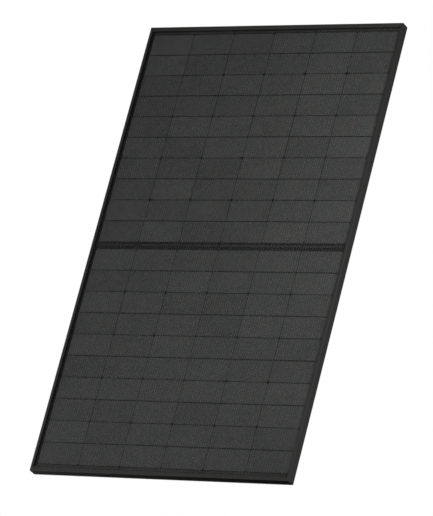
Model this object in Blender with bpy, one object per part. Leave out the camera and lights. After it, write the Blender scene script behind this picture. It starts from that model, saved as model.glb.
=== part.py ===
"""Framed solar panel with half cells, modelled upright and seen from the front.

X runs to the right, +Y from the glass towards the rear flanges, +Z up along the
panel. The origin is the centre of the panel's box. All sizes are in metres.

In the sections below, u is the distance inwards from the panel's outer face and
v is the depth behind the plane of the front lips.
"""

import math

import bmesh
import bpy
from mathutils import Vector
from mathutils.geometry import tessellate_polygon

# Overall size
WIDTH = 1.041
HEIGHT = 1.767
DEPTH = 0.035

# Clearance between pieces that touch on the real panel
GAP = 0.0003

# Frame sections
FRAME_WALL = 0.0015
FRAME_EDGE = 0.0004
LIP_THICKNESS = 0.0018
LIP_LONG = 0.0100
LIP_SHORT = 0.0155
SHELF_WIDTH = 0.0140
CHAMBER_DEPTH = 0.0125
FLANGE_LONG = 0.0300
FLANGE_SHORT = 0.0240

# Sealant around the laminate's edge
SEALANT_LEG = 0.0006
SEALANT_WEB = 0.0009
SEALANT_FRONT_REACH = 0.0080
SEALANT_REAR_REACH = 0.0120

# Laminate, from the front to the rear
GLASS_THICKNESS = 0.0032
GLASS_ARRIS = 0.0005
ENCAPSULANT_THICKNESS = 0.0004
CELL_THICKNESS = 0.0002
BACKSHEET_THICKNESS = 0.0004
ENCAPSULANT_INSET = 0.0010

# Cells
COLUMNS = 6
CELLS_PER_STRING = 5
SIDE_MARGIN = 0.0168
END_MARGIN = 0.0298
CELL_CHAMFER = 0.0060
COLUMN_GAP = 0.0006
CUT_GAP = 0.0018
CELL_GAP = 0.0010
MIDDLE_GAP = 0.0294
ARRAY_SHIFT = 0.0040
WIRE_FOIL_MARGIN = 0.0080
END_FOIL = 0.0025

# Ribbons
MIDDLE_RIBBON_HEIGHT = 0.0060
END_RIBBON_HEIGHT = 0.0080
RIBBON_THICKNESS = 0.0003
MIDDLE_RIBBON_RISE = 0.0025
RIBBON_END_INSET = 0.0040
TAB_WIDTH = 0.0050
TAB_THICKNESS = 0.0004
TAB_OFFSET = 0.0120
TAB_REACH_PAST_TERMINAL = 0.0012
SLIT_WIDTH = 0.0080
SLIT_HEIGHT = 0.0030

# Corner keys
KEY_LEG = 0.0600
KEY_RIB = 0.0006
KEY_RIBS = 5

# Holes in the rear flanges
MOUNTING_SLOT_LENGTH = 0.0140
MOUNTING_SLOT_WIDTH = 0.0090
MOUNTING_SPACINGS = (0.990, 1.300)
GROUND_HOLE_DIAMETER = 0.0042
GROUND_HOLE_SPACING = 0.080
DRAIN_SLOT_LENGTH = 0.0100
DRAIN_SLOT_WIDTH = 0.0040
DRAIN_SLOT_INSET = 0.0905

# Junction boxes
BOX_WIDTH = 0.0680
BOX_HEIGHT = 0.0480
BOX_WALL = 0.0020
BOX_FLOOR = 0.0020
WALL_OVER_SLEEVE = 0.0009
BOX_CORNER = 0.0050
BOX_FOOT = 0.0035
PAD_THICKNESS = 0.0009
PAD_INSET = 0.0030
SEAL_THICKNESS = 0.0010
LID_THICKNESS = 0.0018
LID_SKIRT_DEPTH = 0.0025
LID_SKIRT_WALL = 0.0016
LID_PANEL_RAISE = 0.0008
LID_PANEL_INSET = 0.0080

# Electrical pieces in a junction box
TERMINAL_WIDTH = 0.0210
TERMINAL_HEIGHT = 0.0180
TERMINAL_THICKNESS = 0.0008
TERMINAL_SPLIT = 0.0100
TERMINAL_HOLE_DIAMETER = 0.0040
TERMINAL_RISE = 0.0016
DIODE_WIDTH = 0.0120
DIODE_HEIGHT = 0.0090
DIODE_THICKNESS = 0.0035
DIODE_LEAD_SPAN = 0.0220
DIODE_LEAD_WIDTH = 0.0030
DIODE_LEAD_THICKNESS = 0.0008

# Cable outlets on the two outer junction boxes
SLEEVE_DIAMETER = 0.0100
SLEEVE_LENGTH = 0.0100
SLEEVE_BORE = 0.0066
NUT_DIAMETER = 0.0150
NUT_LENGTH = 0.0150
NUT_BORE = 0.0064
NUT_GRIPS = 12
NUT_GRIP_DEPTH = 0.0006

# Rating label
LABEL_WIDTH = 0.1200
LABEL_HEIGHT = 0.0800
LABEL_THICKNESS = 0.0003
LABEL_CORNER = 0.0015
LABEL_RISE = 0.4500

CIRCLE_STEPS = 24
SLOT_END_STEPS = 8
CORNER_STEPS = 4
SMOOTH_ANGLE = math.radians(30)

# Values worked out from the sizes above
CELL_PITCH_X = (WIDTH - 2 * SIDE_MARGIN + COLUMN_GAP) / COLUMNS
CELL_WIDTH = CELL_PITCH_X - COLUMN_GAP
STRING_LENGTH = HEIGHT / 2 - END_MARGIN - MIDDLE_GAP / 2
CELL_PITCH_Z = (STRING_LENGTH + CELL_GAP) / CELLS_PER_STRING
HALF_CELL_HEIGHT = (CELL_PITCH_Z - CUT_GAP - CELL_GAP) / 2
LAMINATE_EDGE = FRAME_WALL + GAP + SEALANT_WEB + GAP
GLASS_FRONT = LIP_THICKNESS + GAP + SEALANT_LEG + GAP
ENCAPSULANT_FRONT = GLASS_FRONT + GLASS_THICKNESS + GAP
CELL_FRONT = ENCAPSULANT_FRONT + ENCAPSULANT_THICKNESS + GAP
REAR_ENCAPSULANT_FRONT = CELL_FRONT + max(CELL_THICKNESS, RIBBON_THICKNESS) + GAP
BACKSHEET_FRONT = REAR_ENCAPSULANT_FRONT + ENCAPSULANT_THICKNESS + GAP
LAMINATE_REAR = BACKSHEET_FRONT + BACKSHEET_THICKNESS
SHELF_FRONT = LAMINATE_REAR + GAP + SEALANT_LEG + GAP
CHAMBER_FRONT = SHELF_FRONT + FRAME_WALL
CHAMBER_REAR = CHAMBER_FRONT + CHAMBER_DEPTH
PAD_FRONT = LAMINATE_REAR + GAP
BOX_FRONT = PAD_FRONT + PAD_THICKNESS + GAP
BOX_FLOOR_REAR = BOX_FRONT + BOX_FLOOR
SLEEVE_AXIS = BOX_FLOOR_REAR + 2 * GAP + NUT_DIAMETER / 2
BOX_RIM = SLEEVE_AXIS + SLEEVE_DIAMETER / 2 + WALL_OVER_SLEEVE
LID_FRONT = BOX_RIM + GAP + SEAL_THICKNESS + GAP
LID_REAR = LID_FRONT + LID_THICKNESS
TERMINAL_FRONT = BOX_FLOOR_REAR + TERMINAL_RISE
TERMINAL_REAR = TERMINAL_FRONT + TERMINAL_THICKNESS
BOX_PLACES = tuple(
    (ARRAY_SHIFT + column * CELL_PITCH_X, side) for column, side in ((-2, -1), (0, 0), (2, 1))
)
BOX_NAMES = ("left", "middle", "right")

# Colour, roughness and metallic value of each finish
FINISHES = {
    "black_anodised": ((0.020, 0.019, 0.018), 0.38, 0.85),
    "cut_aluminium": ((0.62, 0.63, 0.64), 0.35, 1.0),
    "solar_glass": ((0.75, 0.80, 0.80), 0.12, 0.0),
    "clear_encapsulant": ((0.80, 0.82, 0.80), 0.30, 0.0),
    "silicon_cell": ((0.030, 0.033, 0.032), 0.35, 0.10),
    "tinned_copper": ((0.45, 0.44, 0.42), 0.35, 1.0),
    "black_backsheet": ((0.012, 0.012, 0.013), 0.55, 0.0),
    "black_sealant": ((0.015, 0.015, 0.015), 0.60, 0.0),
    "box_plastic": ((0.022, 0.022, 0.023), 0.45, 0.0),
    "seal_rubber": ((0.030, 0.030, 0.030), 0.75, 0.0),
    "diode_resin": ((0.018, 0.018, 0.018), 0.50, 0.0),
    "label_film": ((0.70, 0.70, 0.68), 0.50, 0.0),
}


def depth_to_y(v):
    """World Y of a depth behind the plane of the front lips."""
    return v - DEPTH / 2


def clear_scene():
    """Remove every object that the file starts with."""
    for obj in list(bpy.data.objects):
        bpy.data.objects.remove(obj, do_unlink=True)


def make_material(name):
    """A Principled material for one finish, made once and shared."""
    material = bpy.data.materials.get(name)
    if material:
        return material
    colour, roughness, metallic = FINISHES[name]
    material = bpy.data.materials.new(name)
    material.use_nodes = True
    shader = material.node_tree.nodes["Principled BSDF"]
    shader.inputs["Base Color"].default_value = (*colour, 1.0)
    shader.inputs["Roughness"].default_value = roughness
    shader.inputs["Metallic"].default_value = metallic
    return material


def add_object(name, bm, finish, seat=None, rounded=False):
    """Turn a bmesh into a named object with one material, parented to its seat.

    A piece with round corners is shaded smooth between its sharp edges.
    """
    bmesh.ops.recalc_face_normals(bm, faces=bm.faces)
    mesh = bpy.data.meshes.new(name)
    bm.to_mesh(mesh)
    bm.free()
    if finish:
        mesh.materials.append(make_material(finish))
    if rounded:
        mesh.shade_smooth()
        mesh.set_sharp_from_angle(angle=SMOOTH_ANGLE)
    obj = bpy.data.objects.new(name, mesh)
    obj.parent = seat
    bpy.context.scene.collection.objects.link(obj)
    return obj


def add_seat(name, location):
    """An empty that carries the pieces of one sub-assembly."""
    seat = bpy.data.objects.new(name, None)
    seat.location = location
    bpy.context.scene.collection.objects.link(seat)
    return seat


def add_cutter(name, bm, seat=None):
    """Turn a bmesh into a hidden object that only cuts or joins others."""
    obj = add_object(name, bm, None, seat)
    obj.hide_render = True
    obj.display_type = "WIRE"
    return obj


def combine(target, tool, operation):
    """Cut the tool out of the target, or join it on, as a modifier."""
    modifier = target.modifiers.new(operation.title(), "BOOLEAN")
    modifier.object = tool
    modifier.operation = operation
    modifier.solver = "EXACT"


def prism(bm, outline, holes, place, front, rear):
    """Add a straight prism with holes to a bmesh.

    outline and holes are lists of flat points. place turns a flat point and a
    height into a world point, and front and rear are the two heights.
    """
    loops = [outline] + list(holes)
    flat = [[Vector((a, b, 0.0)) for a, b in loop] for loop in loops]
    caps = tessellate_polygon(flat)
    near = [[bm.verts.new(place(a, b, front)) for a, b in loop] for loop in loops]
    far = [[bm.verts.new(place(a, b, rear)) for a, b in loop] for loop in loops]
    for near_loop, far_loop in zip(near, far):
        for i in range(len(near_loop)):
            j = (i + 1) % len(near_loop)
            bm.faces.new((near_loop[i], near_loop[j], far_loop[j], far_loop[i]))
    for ring in (near, far):
        verts = [vert for loop in ring for vert in loop]
        for triangle in caps:
            bm.faces.new([verts[index] for index in triangle])


def across_depth(x, z, v):
    """Place a flat point of the panel's face at a depth."""
    return (x, depth_to_y(v), z)


def along_x(z, v, x):
    """Place a point of a section that runs along X."""
    return (x, depth_to_y(v), z)


def box_outline(x0, x1, z0, z1):
    """Corners of a rectangle."""
    return [(x0, z0), (x1, z0), (x1, z1), (x0, z1)]


def rounded_outline(width, height, radius, centre_z=0.0):
    """Outline of a rectangle with round corners, centred on X."""
    points = []
    for quarter, (sign_x, sign_z) in enumerate(((1, 1), (-1, 1), (-1, -1), (1, -1))):
        corner_x = sign_x * (width / 2 - radius)
        corner_z = centre_z + sign_z * (height / 2 - radius)
        for step in range(CORNER_STEPS + 1):
            angle = math.pi / 2 * (quarter + step / CORNER_STEPS)
            points.append((corner_x + radius * math.cos(angle), corner_z + radius * math.sin(angle)))
    return points


def circle_outline(centre_x, centre_z, diameter, steps=CIRCLE_STEPS):
    """Points of a circle."""
    turn = 2 * math.pi / steps
    radius = diameter / 2
    return [
        (centre_x + radius * math.cos(turn * i), centre_z + radius * math.sin(turn * i))
        for i in range(steps)
    ]


def slot_outline(centre_x, centre_z, length, width, upright):
    """Points of a slot with round ends, along Z when upright and along X when not."""
    radius = width / 2
    reach = length / 2 - radius
    points = []
    for end, start in ((1, -math.pi / 2), (-1, math.pi / 2)):
        for step in range(SLOT_END_STEPS + 1):
            angle = start + math.pi * step / SLOT_END_STEPS
            along = end * reach + radius * math.cos(angle)
            aside = radius * math.sin(angle)
            if upright:
                points.append((centre_x - aside, centre_z + along))
            else:
                points.append((centre_x + along, centre_z + aside))
    return points


def add_plate(name, outline, front, thickness, finish, holes=(), seat=None, rounded=False):
    """A flat plate that lies in the plane of the panel."""
    bm = bmesh.new()
    prism(bm, outline, holes, across_depth, front, front + thickness)
    return add_object(name, bm, finish, seat, rounded)


def plate_tool(name, outlines, front, rear, seat=None):
    """Hidden prisms that stand across the plane of the panel."""
    bm = bmesh.new()
    for outline in outlines:
        prism(bm, outline, (), across_depth, front, rear)
    return add_cutter(name, bm, seat)


# Frame


def frame_section(lip, flange):
    """Outline and chamber of a frame extrusion as (u, v) points."""
    wall = FRAME_WALL
    edge = FRAME_EDGE
    inner = SHELF_WIDTH
    outline = [
        (0.0, edge),
        (edge, 0.0),
        (lip - edge, 0.0),
        (lip, edge),
        (lip, LIP_THICKNESS),
        (wall, LIP_THICKNESS),
        (wall, SHELF_FRONT),
        (inner, SHELF_FRONT),
        (inner, CHAMBER_REAR + wall),
        (wall, CHAMBER_REAR + wall),
        (wall, DEPTH - wall),
        (flange, DEPTH - wall),
        (flange, DEPTH - edge),
        (flange - edge, DEPTH),
        (edge, DEPTH),
        (0.0, DEPTH - edge),
    ]
    chamber = [
        (wall, CHAMBER_FRONT),
        (wall, CHAMBER_REAR),
        (inner - wall, CHAMBER_REAR),
        (inner - wall, CHAMBER_FRONT),
    ]
    return outline, chamber


def add_frame_member(name, lip, flange, half_length, place, slots):
    """A mitred frame extrusion with slots cut through its rear flange."""
    outline, chamber = frame_section(lip, flange)
    mitre_gap = GAP / 2 * math.sqrt(2)

    def mitred(u, v, end):
        return place(u, v, end * (half_length - u - mitre_gap))

    bm = bmesh.new()
    prism(bm, outline, [chamber], mitred, -1, 1)
    member = add_object(name, bm, "black_anodised")
    cutter = plate_tool(name + "_slots", slots, DEPTH - 2 * FRAME_WALL, DEPTH + FRAME_WALL)
    combine(member, cutter, "DIFFERENCE")
    return member


def long_side_slots(side):
    """Mounting slots and grounding holes of the left or the right member."""
    centre = side * (WIDTH / 2 - (FLANGE_LONG + FRAME_WALL) / 2)
    slots = []
    for spacing in MOUNTING_SPACINGS:
        for end in (-1, 1):
            place = end * spacing / 2
            slots.append(slot_outline(centre, place, MOUNTING_SLOT_LENGTH, MOUNTING_SLOT_WIDTH, True))
    for end in (-1, 1):
        place = end * GROUND_HOLE_SPACING / 2
        slots.append(circle_outline(centre, place, GROUND_HOLE_DIAMETER, 2 * SLOT_END_STEPS))
    return slots


def short_side_slots(side):
    """Drain slots of the bottom or the top member."""
    centre = side * (HEIGHT / 2 - (FLANGE_SHORT + FRAME_WALL) / 2)
    place = WIDTH / 2 - DRAIN_SLOT_INSET
    return [
        slot_outline(end * place, centre, DRAIN_SLOT_LENGTH, DRAIN_SLOT_WIDTH, False)
        for end in (-1, 1)
    ]


def add_frame():
    """The four extrusions, mitred at the corners."""
    for name, side in (("frame_left", -1), ("frame_right", 1)):
        add_frame_member(
            name, LIP_LONG, FLANGE_LONG, HEIGHT / 2,
            lambda u, v, s, side=side: (side * (WIDTH / 2 - u), depth_to_y(v), s),
            long_side_slots(side),
        )
    for name, side in (("frame_bottom", -1), ("frame_top", 1)):
        add_frame_member(
            name, LIP_SHORT, FLANGE_SHORT, WIDTH / 2,
            lambda u, v, s, side=side: (s, depth_to_y(v), side * (HEIGHT / 2 - u)),
            short_side_slots(side),
        )


def add_corner_keys():
    """Ribbed L-shaped keys that hold the mitres together inside the chambers."""
    outer = FRAME_WALL + GAP
    inner = SHELF_WIDTH - FRAME_WALL - GAP
    end = outer + KEY_LEG
    rib_pitch = (end - inner) / (KEY_RIBS + 1)
    tooth = rib_pitch / 4
    along_leg = []
    for rib in range(KEY_RIBS):
        centre = inner + rib_pitch * (rib + 1)
        along_leg += [(centre - tooth, inner), (centre, inner - KEY_RIB), (centre + tooth, inner)]
    outline = [(outer, outer), (end, outer), (end, inner)]
    outline += reversed(along_leg)
    outline += [(inner, inner)]
    outline += [(b, a) for a, b in along_leg]
    outline += [(inner, end), (outer, end)]
    for vertical, side_z in (("bottom", -1), ("top", 1)):
        for sideways, side_x in (("left", -1), ("right", 1)):
            placed = [(side_x * (WIDTH / 2 - a), side_z * (HEIGHT / 2 - b)) for a, b in outline]
            name = f"corner_key_{vertical}_{sideways}"
            depth = CHAMBER_DEPTH - 2 * GAP
            add_plate(name, placed, CHAMBER_FRONT + GAP, depth, "cut_aluminium")


def add_edge_sealant():
    """One bead of U section that runs round the laminate's edge."""
    outer = FRAME_WALL + GAP
    web = outer + SEALANT_WEB
    section = [
        (outer, LIP_THICKNESS + GAP),
        (SEALANT_FRONT_REACH, LIP_THICKNESS + GAP),
        (SEALANT_FRONT_REACH, GLASS_FRONT - GAP),
        (web, GLASS_FRONT - GAP),
        (web, LAMINATE_REAR + GAP),
        (SEALANT_REAR_REACH, LAMINATE_REAR + GAP),
        (SEALANT_REAR_REACH, SHELF_FRONT - GAP),
        (outer, SHELF_FRONT - GAP),
    ]
    bm = bmesh.new()
    rings = []
    for side_x, side_z in ((-1, -1), (1, -1), (1, 1), (-1, 1)):
        ring = []
        for u, v in section:
            x = side_x * (WIDTH / 2 - u)
            z = side_z * (HEIGHT / 2 - u)
            ring.append(bm.verts.new((x, depth_to_y(v), z)))
        rings.append(ring)
    for corner in range(4):
        this_ring = rings[corner]
        next_ring = rings[(corner + 1) % 4]
        for i in range(len(section)):
            j = (i + 1) % len(section)
            bm.faces.new((this_ring[i], this_ring[j], next_ring[j], next_ring[i]))
    add_object("edge_sealant", bm, "black_sealant")


# Laminate


def laminate_outline(inset=0.0):
    """Outline of a sheet of the laminate."""
    half_x = WIDTH / 2 - LAMINATE_EDGE - inset
    half_z = HEIGHT / 2 - LAMINATE_EDGE - inset
    return box_outline(-half_x, half_x, -half_z, half_z)


def tab_places():
    """X of each tab, with the index of the middle ribbon that it belongs to."""
    places = []
    for index, (centre, _side) in enumerate(BOX_PLACES):
        places.append((centre - TAB_OFFSET, index))
        places.append((centre + TAB_OFFSET, index + 1))
    return places


def tab_slits():
    """Openings for the ribbon tabs in a sheet behind the cells."""
    slits = []
    for x, _ribbon in tab_places():
        low = MIDDLE_RIBBON_RISE - SLIT_HEIGHT / 2
        high = MIDDLE_RIBBON_RISE + SLIT_HEIGHT / 2
        slits.append(box_outline(x - SLIT_WIDTH / 2, x + SLIT_WIDTH / 2, low, high))
    return slits


def add_laminate_sheets():
    """Glass, both encapsulant sheets and the backsheet."""
    glass = add_plate("front_glass", laminate_outline(), GLASS_FRONT, GLASS_THICKNESS, "solar_glass")
    arris = glass.modifiers.new("Arris", "BEVEL")
    arris.width = GLASS_ARRIS
    arris.segments = 1
    sheet = laminate_outline(ENCAPSULANT_INSET)
    add_plate(
        "front_encapsulant", sheet, ENCAPSULANT_FRONT, ENCAPSULANT_THICKNESS, "clear_encapsulant"
    )
    add_plate(
        "rear_encapsulant", sheet, REAR_ENCAPSULANT_FRONT, ENCAPSULANT_THICKNESS,
        "clear_encapsulant", tab_slits(),
    )
    add_plate(
        "backsheet", laminate_outline(), BACKSHEET_FRONT, BACKSHEET_THICKNESS,
        "black_backsheet", tab_slits(),
    )


def string_side(column_x, end_foil, near_foil):
    """Right half outline of a string, from the middle gap outwards, as (x, z) points.

    near_foil and end_foil are the lengths of wire foil past the first and the
    last half cell.
    """
    half_cell = CELL_WIDTH / 2
    foil = half_cell - WIRE_FOIL_MARGIN
    points = [(foil, -near_foil), (foil, 0.0)]
    for cell in range(CELLS_PER_STRING):
        low = cell * CELL_PITCH_Z
        cut = low + HALF_CELL_HEIGHT
        high = cut + CUT_GAP + HALF_CELL_HEIGHT
        points += [(half_cell - CELL_CHAMFER, low), (half_cell, low + CELL_CHAMFER)]
        points += [(half_cell, cut), (foil, cut), (foil, cut + CUT_GAP), (half_cell, cut + CUT_GAP)]
        points += [(half_cell, high - CELL_CHAMFER), (half_cell - CELL_CHAMFER, high), (foil, high)]
        if cell < CELLS_PER_STRING - 1:
            points.append((foil, high + CELL_GAP))
    points.append((foil, STRING_LENGTH + end_foil))
    return points


def middle_ribbon_edges():
    """Z of the lower and the upper edge of the ribbons in the middle gap."""
    return MIDDLE_RIBBON_RISE - MIDDLE_RIBBON_HEIGHT / 2, MIDDLE_RIBBON_RISE + MIDDLE_RIBBON_HEIGHT / 2


def add_cell_strings():
    """Twelve strings of half cells, each held together by its wire foil."""
    ribbon_low, ribbon_high = middle_ribbon_edges()
    for half, side in (("upper", 1), ("lower", -1)):
        edge = ribbon_high if side > 0 else -ribbon_low
        near_foil = MIDDLE_GAP / 2 - edge - GAP
        right = string_side(0.0, END_FOIL, near_foil)
        outline = right + [(-x, z) for x, z in reversed(right)]
        for column in range(COLUMNS):
            centre = ARRAY_SHIFT + (column - (COLUMNS - 1) / 2) * CELL_PITCH_X
            placed = [(centre + x, side * (MIDDLE_GAP / 2 + z)) for x, z in outline]
            name = f"cell_string_{half}_{column + 1}"
            add_plate(name, placed, CELL_FRONT, CELL_THICKNESS, "silicon_cell")


def add_end_ribbons():
    """Ribbons that join neighbouring strings at the top and at the bottom."""
    start = MIDDLE_GAP / 2 + STRING_LENGTH + END_FOIL + GAP
    for name, side in (("top", 1), ("bottom", -1)):
        for pair in range(COLUMNS // 2):
            centre = ARRAY_SHIFT + (2 * pair - (COLUMNS - 2) / 2) * CELL_PITCH_X
            reach = CELL_PITCH_X - RIBBON_END_INSET
            low, high = sorted((side * start, side * (start + END_RIBBON_HEIGHT)))
            outline = box_outline(centre - reach, centre + reach, low, high)
            ribbon = f"{name}_ribbon_{pair + 1}"
            add_plate(ribbon, outline, CELL_FRONT, RIBBON_THICKNESS, "tinned_copper")


def add_middle_ribbons():
    """Ribbons of the middle gap, with tabs that pass back into the junction boxes."""
    low, high = middle_ribbon_edges()
    half_array = COLUMNS / 2 * CELL_PITCH_X
    bounds = [ARRAY_SHIFT - half_array]
    bounds += [centre for centre, _side in BOX_PLACES]
    bounds.append(ARRAY_SHIFT + half_array)
    for ribbon in range(len(bounds) - 1):
        outline = box_outline(
            bounds[ribbon] + RIBBON_END_INSET, bounds[ribbon + 1] - RIBBON_END_INSET, low, high
        )
        name = f"middle_ribbon_{ribbon + 1}"
        plate = add_plate(name, outline, CELL_FRONT, RIBBON_THICKNESS, "tinned_copper")
        tabs = []
        for x, owner in tab_places():
            if owner == ribbon:
                tab_low = MIDDLE_RIBBON_RISE - TAB_THICKNESS / 2
                tab_high = MIDDLE_RIBBON_RISE + TAB_THICKNESS / 2
                tabs.append(box_outline(x - TAB_WIDTH / 2, x + TAB_WIDTH / 2, tab_low, tab_high))
        tab_front = CELL_FRONT + RIBBON_THICKNESS / 2
        tab_rear = TERMINAL_REAR + TAB_REACH_PAST_TERMINAL
        combine(plate, plate_tool(name + "_tabs", tabs, tab_front, tab_rear), "UNION")


# Junction boxes, each built on a seat at its own centre


def box_outside():
    """Outline of a junction box's walls, seal and lid."""
    return rounded_outline(BOX_WIDTH, BOX_HEIGHT, BOX_CORNER)


def box_inside():
    """Outline of the space within a junction box's walls."""
    return rounded_outline(BOX_WIDTH - 2 * BOX_WALL, BOX_HEIGHT - 2 * BOX_WALL, BOX_CORNER - BOX_WALL)


def box_slits():
    """Openings for the two ribbon tabs in a piece that a junction box stands on."""
    low = MIDDLE_RIBBON_RISE - SLIT_HEIGHT / 2
    high = MIDDLE_RIBBON_RISE + SLIT_HEIGHT / 2
    return [
        box_outline(sign * TAB_OFFSET - SLIT_WIDTH / 2, sign * TAB_OFFSET + SLIT_WIDTH / 2, low, high)
        for sign in (-1, 1)
    ]


def terminal_top():
    """Z of the terminals' upper edge, just below the ribbon tabs."""
    return MIDDLE_RIBBON_RISE - TAB_THICKNESS / 2 - GAP


def terminal_outline(sign, inset=0.0):
    """Outline of the left or the right terminal, drawn in by an inset."""
    near = sign * (TERMINAL_SPLIT / 2 + inset)
    far = sign * (TERMINAL_SPLIT / 2 + TERMINAL_WIDTH - inset)
    low = terminal_top() - TERMINAL_HEIGHT + inset
    return box_outline(min(near, far), max(near, far), low, terminal_top() - inset)


def add_box_base(name, side, seat):
    """Tray of a junction box, with tab slits, terminal rests and a cable sleeve."""
    foot = rounded_outline(BOX_WIDTH + 2 * BOX_FOOT, BOX_HEIGHT + 2 * BOX_FOOT, BOX_CORNER + BOX_FOOT)
    base = add_plate(name, foot, BOX_FRONT, BOX_FLOOR, "box_plastic", box_slits(), seat, True)
    floor_middle = BOX_FLOOR_REAR - BOX_FLOOR / 2
    bm = bmesh.new()
    prism(bm, box_outside(), [box_inside()], across_depth, floor_middle, BOX_RIM)
    for sign in (-1, 1):
        rest = terminal_outline(sign, BOX_WALL)
        prism(bm, rest, (), across_depth, floor_middle, TERMINAL_FRONT - GAP)
    combine(base, add_cutter(name + "_walls", bm, seat), "UNION")
    if side:
        add_sleeve(base, name, side, seat)


def add_sleeve(base, name, side, seat):
    """Join a bored cable sleeve to the outer wall of a junction box."""
    wall_middle = side * (BOX_WIDTH / 2 - BOX_WALL / 2)
    bore_start = side * (BOX_WIDTH / 2 - 2 * BOX_WALL)
    tip = side * (BOX_WIDTH / 2 + SLEEVE_LENGTH)
    bm = bmesh.new()
    prism(bm, circle_outline(0.0, SLEEVE_AXIS, SLEEVE_DIAMETER), (), along_x, wall_middle, tip)
    combine(base, add_cutter(name + "_sleeve", bm, seat), "UNION")
    bm = bmesh.new()
    bore = circle_outline(0.0, SLEEVE_AXIS, SLEEVE_BORE)
    prism(bm, bore, (), along_x, bore_start, tip + side * BOX_WALL)
    combine(base, add_cutter(name + "_bore", bm, seat), "DIFFERENCE")


def add_gland_nut(name, side, seat):
    """Gripped nut that screws over a cable sleeve, with a hole for the cable."""
    start = side * (BOX_WIDTH / 2 + GAP)
    end = start + side * NUT_LENGTH
    outline = []
    for i in range(2 * NUT_GRIPS):
        reach = NUT_DIAMETER / 2 - (i % 2) * NUT_GRIP_DEPTH
        angle = math.pi * i / NUT_GRIPS
        outline.append((reach * math.cos(angle), SLEEVE_AXIS + reach * math.sin(angle)))
    bm = bmesh.new()
    prism(bm, outline, [circle_outline(0.0, SLEEVE_AXIS, NUT_BORE)], along_x, start, end)
    nut = add_object(name, bm, "box_plastic", seat, True)
    socket = circle_outline(0.0, SLEEVE_AXIS, SLEEVE_DIAMETER + 2 * GAP)
    socket_end = side * (BOX_WIDTH / 2 + SLEEVE_LENGTH + GAP)
    bm = bmesh.new()
    prism(bm, socket, (), along_x, start - side * BOX_WALL, socket_end)
    combine(nut, add_cutter(name + "_socket", bm, seat), "DIFFERENCE")


def add_box_lid(name, seat):
    """Lid with an inner skirt and a raised panel."""
    lid = add_plate(name, box_outside(), LID_FRONT, LID_THICKNESS, "box_plastic", (), seat, True)
    lid_middle = LID_FRONT + LID_THICKNESS / 2
    inset = 2 * (BOX_WALL + GAP)
    corner = BOX_CORNER - BOX_WALL - GAP
    outside = rounded_outline(BOX_WIDTH - inset, BOX_HEIGHT - inset, corner)
    inset += 2 * LID_SKIRT_WALL
    inside = rounded_outline(BOX_WIDTH - inset, BOX_HEIGHT - inset, corner - LID_SKIRT_WALL)
    bm = bmesh.new()
    prism(bm, outside, [inside], across_depth, BOX_RIM - LID_SKIRT_DEPTH, lid_middle)
    combine(lid, add_cutter(name + "_skirt", bm, seat), "UNION")
    inset = 2 * LID_PANEL_INSET
    panel = rounded_outline(BOX_WIDTH - inset, BOX_HEIGHT - inset, corner)
    panel_tool = plate_tool(name + "_panel", [panel], lid_middle, LID_REAR + LID_PANEL_RAISE, seat)
    combine(lid, panel_tool, "UNION")


def add_terminals(name, seat):
    """The two contact plates that the ribbon tabs and the diode are soldered to."""
    for label, sign in (("left", -1), ("right", 1)):
        hole_x = sign * (TERMINAL_SPLIT / 2 + TERMINAL_WIDTH - TERMINAL_HOLE_DIAMETER)
        hole_z = terminal_top() - TERMINAL_HOLE_DIAMETER
        hole = circle_outline(hole_x, hole_z, TERMINAL_HOLE_DIAMETER, 2 * SLOT_END_STEPS)
        add_plate(
            f"terminal_{name}_{label}", terminal_outline(sign), TERMINAL_FRONT, TERMINAL_THICKNESS,
            "tinned_copper", [hole], seat,
        )


def add_diode(name, seat):
    """Bypass diode that bridges the two terminals."""
    middle_z = terminal_top() - TERMINAL_HEIGHT / 2
    front = TERMINAL_REAR + GAP
    body = box_outline(
        -DIODE_WIDTH / 2, DIODE_WIDTH / 2, middle_z - DIODE_HEIGHT / 2, middle_z + DIODE_HEIGHT / 2
    )
    diode = add_plate(name, body, front, DIODE_THICKNESS, "diode_resin", (), seat)
    lead = box_outline(
        -DIODE_LEAD_SPAN / 2, DIODE_LEAD_SPAN / 2,
        middle_z - DIODE_LEAD_WIDTH / 2, middle_z + DIODE_LEAD_WIDTH / 2,
    )
    lead_tool = plate_tool(name + "_leads", [lead], front, front + DIODE_LEAD_THICKNESS, seat)
    combine(diode, lead_tool, "UNION")


def add_junction_boxes():
    """Three junction boxes behind the middle gap, with what they hold."""
    pad = rounded_outline(
        BOX_WIDTH + 2 * (BOX_FOOT - PAD_INSET), BOX_HEIGHT + 2 * (BOX_FOOT - PAD_INSET), BOX_CORNER
    )
    for name, (centre, side) in zip(BOX_NAMES, BOX_PLACES):
        seat = add_seat(f"junction_box_{name}", (centre, 0.0, 0.0))
        add_plate(
            f"box_adhesive_{name}", pad, PAD_FRONT, PAD_THICKNESS,
            "black_sealant", box_slits(), seat, True,
        )
        add_box_base(f"box_base_{name}", side, seat)
        add_terminals(name, seat)
        add_diode(f"bypass_diode_{name}", seat)
        add_plate(
            f"lid_seal_{name}", box_outside(), BOX_RIM + GAP, SEAL_THICKNESS,
            "seal_rubber", [box_inside()], seat, True,
        )
        add_box_lid(f"box_lid_{name}", seat)
        if side:
            add_gland_nut(f"cable_gland_{name}", side, seat)


def add_label():
    """Blank rating label on the backsheet."""
    outline = rounded_outline(LABEL_WIDTH, LABEL_HEIGHT, LABEL_CORNER, LABEL_RISE)
    add_plate("rating_label", outline, LAMINATE_REAR + GAP, LABEL_THICKNESS, "label_film")


def main():
    """Build the whole panel."""
    clear_scene()
    add_frame()
    add_corner_keys()
    add_edge_sealant()
    add_laminate_sheets()
    add_cell_strings()
    add_end_ribbons()
    add_middle_ribbons()
    add_junction_boxes()
    add_label()


main()
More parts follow.
